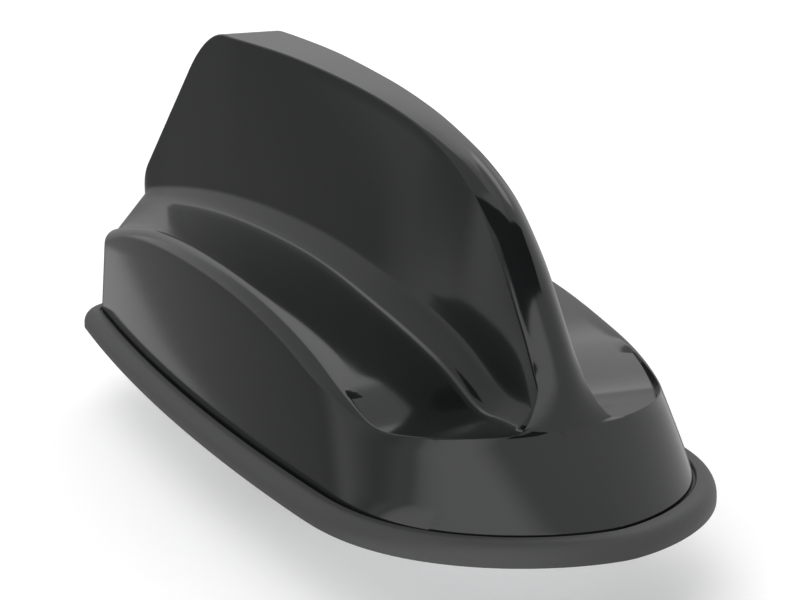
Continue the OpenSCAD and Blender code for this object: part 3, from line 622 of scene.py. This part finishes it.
# Finer pieces in place of the solids they follow, each with the angle in degrees that its shading keeps sharp
for name, node, (verts, faces), look, slot, sharp in (
    ("cover_skin", "cover", cover_mesh(), "cover_gloss", "cover_plastic", 28),
    ("seal_rim", "base_seal", seal_mesh(), "seal_rubber", "seal_rubber", 35),
    ("threaded_stud", "mounting_stud", stud_mesh(), "bright_steel", "stud_steel", 50),
):
    piece = mesh_object(name, verts, faces, looks[look], sharp)
    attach(piece, "root")
    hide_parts(node)

cam_data = bpy.data.cameras.new("view")
cam = bpy.data.objects.new("view", cam_data)
bpy.context.scene.collection.objects.link(cam)
cam.location = CAMERA_AT
cam.rotation_euler = (CAMERA_TO - CAMERA_AT).to_track_quat("-Z", "Y").to_euler()
cam_data.lens = LENS_MM
cam_data.sensor_width = SENSOR_MM
cam_data.clip_start = CLIP_START
bpy.context.scene.camera = cam

# Soft lamps in metres and watts: they light the part and the floor, and leave the reflections to the studio
LAMP_SIZE = 1.2
LAMP_AIM = Vector((0, 0, 0.02))
LAMPS = (("key", (0.35, -0.7, 1.1), 9), ("rear", (-0.9, 0.5, 0.9), 7))
for name, at, power in LAMPS:
    data = bpy.data.lights.new(name, "AREA")
    data.shape = "RECTANGLE"
    data.size = LAMP_SIZE
    data.size_y = LAMP_SIZE
    data.energy = power
    lamp = bpy.data.objects.new(name, data)
    bpy.context.scene.collection.objects.link(lamp)
    lamp.location = at
    lamp.rotation_euler = (LAMP_AIM - Vector(at)).to_track_quat("-Z", "Y").to_euler()
    lamp.visible_glossy = False
    lamp.visible_camera = False

# Studio around the part, as the gloss sees it: soft panels by compass direction and height
world = bpy.data.worlds.new("studio")
bpy.context.scene.world = world
world.use_nodes = True
wt = world.node_tree
back = wt.nodes["Background"]
back.inputs["Color"].default_value = (1, 1, 1, 1)


def math_node(kind, a, b=None, c=None):
    n = wt.nodes.new("ShaderNodeMath")
    n.operation = kind
    for k, v in enumerate((a, b, c)):
        if v is None:
            continue
        if isinstance(v, (int, float)):
            n.inputs[k].default_value = v
        else:
            wt.links.new(v, n.inputs[k])
    return n.outputs[0]


def above(value, at, soft):
    """Goes from 0 to 1 around an angle."""
    n = wt.nodes.new("ShaderNodeMapRange")
    n.interpolation_type = "SMOOTHSTEP"
    n.inputs["From Min"].default_value = at - soft
    n.inputs["From Max"].default_value = at + soft
    wt.links.new(value, n.inputs["Value"])
    return n.outputs["Result"]


def below(value, at, soft):
    return math_node("SUBTRACT", 1.0, above(value, at, soft))


def lay(under, value, mask):
    """Puts a value over another where the mask is 1."""
    diff = math_node("SUBTRACT", value, under)
    return math_node("MULTIPLY_ADD", diff, mask, under)


def panel(under, bright, *edges):
    """Lays a brightness over the studio inside soft edges."""
    mask = edges[0]
    for edge in edges[1:]:
        mask = math_node("MULTIPLY", mask, edge)
    return lay(under, bright, mask)


# A colour ramp holds values up to 1, so it holds the brightness as a share of this
RAMP_TOP = 4.0


def ramp(value, stops):
    """Straight runs through pairs of an angle and a brightness."""
    lo, hi = stops[0][0], stops[-1][0]
    m = wt.nodes.new("ShaderNodeMapRange")
    m.inputs["From Min"].default_value = lo
    m.inputs["From Max"].default_value = hi
    wt.links.new(value, m.inputs["Value"])
    r = wt.nodes.new("ShaderNodeValToRGB")
    wt.links.new(m.outputs["Result"], r.inputs["Fac"])
    e = r.color_ramp.elements
    while len(e) < len(stops):
        e.new(0.5)
    for k, (at, bright) in enumerate(stops):
        share = bright / RAMP_TOP
        e[k].position = (at - lo) / (hi - lo)
        e[k].color = (share, share, share, 1)
    return math_node("MULTIPLY", r.outputs["Color"], RAMP_TOP)


coord = wt.nodes.new("ShaderNodeTexCoord")
split = wt.nodes.new("ShaderNodeSeparateXYZ")
wt.links.new(coord.outputs["Generated"], split.inputs[0])
compass = math_node("DEGREES", math_node("ARCTAN2", split.outputs["Y"], split.outputs["X"]))
height = math_node("DEGREES", math_node("ARCSINE", split.outputs["Z"]))

# Brightness of the studio's parts, where white is 1
REAR_WALL, FRONT_WALL, CEILING, LAMP_PANEL = 0.62, 0.86, 1.1, 2.1
LOW_REAR, LOW_WEDGE = 0.25, 0.58
AMBIENT, WHITE = 0.5, 1.0

# Wall behind the tail by height, and the window with its striped edge by the slant of its side
REAR_BY_HEIGHT = [(-20, 0.2), (8, 0.42), (20, 0.68), (30, 0.9), (50, 1.5), (62, 1.7), (90, 1.35)]
WINDOW_BY_SLANT = [
    (-165, 0.66), (-142, 0.6), (-134, 0.62), (-128, 0.72), (-123, 0.74), (-118, 0.58), (-113, 0.42),
    (-110, 0.52), (-107, 0.82), (-104.6, 0.56), (-103.4, 0.56), (-102.6, 1.35), (-99, 1.6), (-95, 1.72),
    (-60, 1.72),
]
WEDGE_SLOPE, WEDGE_DROP = 0.25, 55.0

slant = math_node("SUBTRACT", compass, height)
wedge = math_node("ADD", height, math_node("MULTIPLY_ADD", compass, WEDGE_SLOPE, WEDGE_DROP))

# Panels from the back to the front of the stack, each edge as an angle in degrees and its softness
studio = panel(REAR_WALL, FRONT_WALL, above(compass, -20, 10), below(compass, 130, 6), below(height, 70, 8))
studio = panel(studio, ramp(height, REAR_BY_HEIGHT), above(compass, 128, 4))
studio = panel(studio, CEILING, above(height, 70, 6), above(compass, -100, 10))
studio = panel(
    studio, LAMP_PANEL,
    above(compass, 94, 3), below(compass, 130, 3), above(height, 38, 3), below(height, 54, 2),
)
studio = panel(
    studio, ramp(slant, WINDOW_BY_SLANT),
    above(compass, -160, 8), below(compass, -10, 16), below(height, 66, 3),
)
studio = panel(studio, LOW_REAR, below(compass, -138, 8), below(height, 0, 4))
studio = panel(studio, LOW_WEDGE, below(wedge, 0, 0.25), below(compass, -158, 3))

path = wt.nodes.new("ShaderNodeLightPath")
seen = math_node("MAXIMUM", path.outputs["Is Camera Ray"], path.outputs["Is Transmission Ray"])
strength = lay(AMBIENT, studio, path.outputs["Is Glossy Ray"])
strength = lay(strength, WHITE, seen)
wt.links.new(strength, back.inputs["Strength"])

# Floor: pale under the lamps, lifted to white for the camera, and left out of the cover's gloss
FLOOR_COLOR, FLOOR_GLOW, FLOOR_REACH = 0.8, 0.3, 3000
MATT = 0.9
floor_mat, floor_b = material("floor_white", (FLOOR_COLOR, FLOOR_COLOR, FLOOR_COLOR), MATT)
floor_b.inputs["Specular IOR Level"].default_value = 0.0
ft = floor_mat.node_tree
glow = ft.nodes.new("ShaderNodeEmission")
glow_path = ft.nodes.new("ShaderNodeLightPath")
glow_size = ft.nodes.new("ShaderNodeMath")
glow_size.operation = "MULTIPLY"
glow_size.inputs[1].default_value = FLOOR_GLOW
total = ft.nodes.new("ShaderNodeAddShader")
ft.links.new(glow_path.outputs["Is Camera Ray"], glow_size.inputs[0])
ft.links.new(glow_size.outputs[0], glow.inputs["Strength"])
ft.links.new(floor_b.outputs[0], total.inputs[0])
ft.links.new(glow.outputs[0], total.inputs[1])
ft.links.new(total.outputs[0], ft.nodes["Material Output"].inputs["Surface"])
floor_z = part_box("mounting_stud")[0][2] / MM
signs = ((-1, -1), (1, -1), (1, 1), (-1, 1))
corners = [(i * FLOOR_REACH, j * FLOOR_REACH, floor_z) for i, j in signs]
floor = mesh_object("floor", corners, [(0, 1, 2, 3)], floor_mat)
floor.visible_glossy = False

# Dark card over the nose, seen only in the gloss of the crest
CARD_Z = 75.0
CARD_COLOR = 0.004
CARD_LINE = [
    (40, -22), (57, -9), (66, 4), (62, 34), (95, 34), (100, 0), (101, -70), (93, -70), (66, -32), (50, -28),
]
card_mat, card_b = material("card_black", (CARD_COLOR, CARD_COLOR, CARD_COLOR), MATT)
card_b.inputs["Specular IOR Level"].default_value = 0.0
card = mesh_object("card", [(x, y, CARD_Z) for x, y in CARD_LINE], [tuple(range(len(CARD_LINE)))], card_mat)
card.visible_camera = False
card.visible_diffuse = False
card.visible_shadow = False
card.visible_transmission = False

bpy.context.scene.view_settings.view_transform = "Standard"
